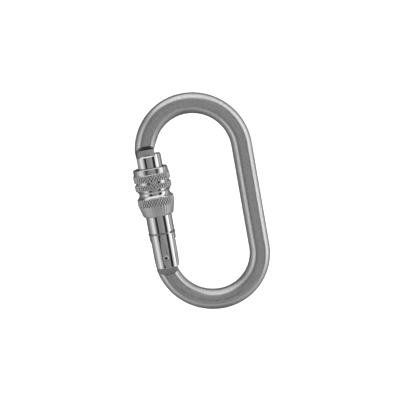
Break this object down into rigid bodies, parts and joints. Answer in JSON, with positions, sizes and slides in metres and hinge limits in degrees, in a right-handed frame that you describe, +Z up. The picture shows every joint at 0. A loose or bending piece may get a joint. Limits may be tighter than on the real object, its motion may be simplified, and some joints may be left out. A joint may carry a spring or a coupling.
{
  "type": "screw-lock carabiner",
  "caption": "Oval carabiner: forged bar body, sprung hinged gate with forked ends, and a knurled threaded sleeve that screws up over the nose to lock it.",
  "frame": {"origin": "load point on the inside crest of the top bow, in the middle of the bar's thickness", "axes": "+Z up along the long axis towards the top bow, +X from the gate to the spine, +Y through the thickness, away from the front"},
  "size_m": [0.0601, 0.018, 0.108],
  "materials": {
    "forged_alloy": "satin grey, bead blasted, forged flats",
    "polished_alloy": "polished",
    "knurled_alloy": "machined, diamond knurled",
    "steel_pin": "brushed",
    "spring_steel": "bright drawn wire",
    "brass_plunger": "turned",
    "black_rubber": "matt"
  },
  "bodies": {
    "frame_body": {"body": "forged_alloy"},
    "gate_arm": {"gate": "polished_alloy", "hinge_rivet": "steel_pin", "latch_pin": "steel_pin", "stop_ring": "spring_steel", "gate_spring": "spring_steel"},
    "plunger": {"spring_plunger": "brass_plunger"},
    "screw_carrier": {"drag_ring": "black_rubber"},
    "sleeve": {"lock_sleeve": "knurled_alloy"}
  },
  "joints": [
    {"name": "gate_open", "type": "hinge", "parent": "frame_body", "child": "gate_arm", "pos_m": [-0.02245, 0, -0.0671], "axis": [0, 1, 0], "range_deg": [0, 34], "stiffness_Nm_per_rad": 0.12, "springref_deg": -20.05},
    {"name": "plunger_lift", "type": "slide", "parent": "gate_arm", "child": "plunger", "axis": [0, 0, 1], "range_m": [0, 0.0008], "deforming": ["gate_spring"]},
    {"name": "sleeve_travel", "type": "slide", "parent": "gate_arm", "child": "screw_carrier", "axis": [0, 0, 1], "range_m": [-0.0082, 0.0086]},
    {"name": "sleeve_turn", "type": "hinge", "parent": "screw_carrier", "child": "sleeve", "pos_m": [-0.02245, 0, -0.035], "axis": [0, 0, 1], "range_deg": [-1482, 1554]}
  ],
  "couplings": [
    {"joint": "plunger_lift", "follows": "gate_open", "m_per_rad": 0.0012},
    {"joint": "sleeve_turn", "follows": "sleeve_travel", "rad_per_m": 3141.6}
  ]
}
